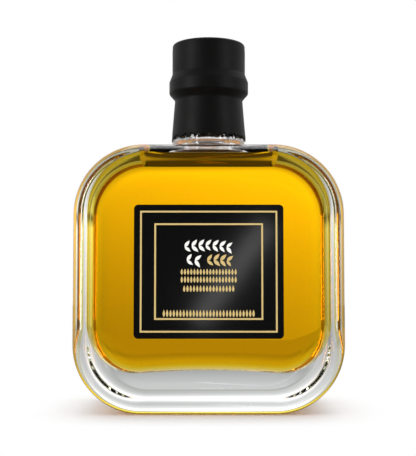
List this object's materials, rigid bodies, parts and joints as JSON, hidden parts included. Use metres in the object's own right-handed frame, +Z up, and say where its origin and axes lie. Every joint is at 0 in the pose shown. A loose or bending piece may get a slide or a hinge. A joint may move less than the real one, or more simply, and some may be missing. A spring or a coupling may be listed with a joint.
{
  "type": "oil bottle",
  "caption": "Flat square flask of thick clear glass filled with golden oil, its stopper and neck under black shrink film, with a black label on the front.",
  "frame": {"origin": "middle of the base, on the surface that the flask stands on", "axes": "+Z up along the neck, +X across the width, -Y the front with the label"},
  "size_m": [0.1116, 0.0686, 0.159],
  "materials": {
    "clear_glass": "polished, clear",
    "oil": "clear golden liquid",
    "stopper_plastic": "matte black",
    "black_film": "matte black shrink film",
    "label_film": "gloss black with thin gold lines"
  },
  "bodies": {
    "root": {"glass_bottle": "clear_glass", "olive_oil": "oil", "stopper": "stopper_plastic", "capsule": "black_film", "front_label": "label_film"}
  },
  "joints": []
}
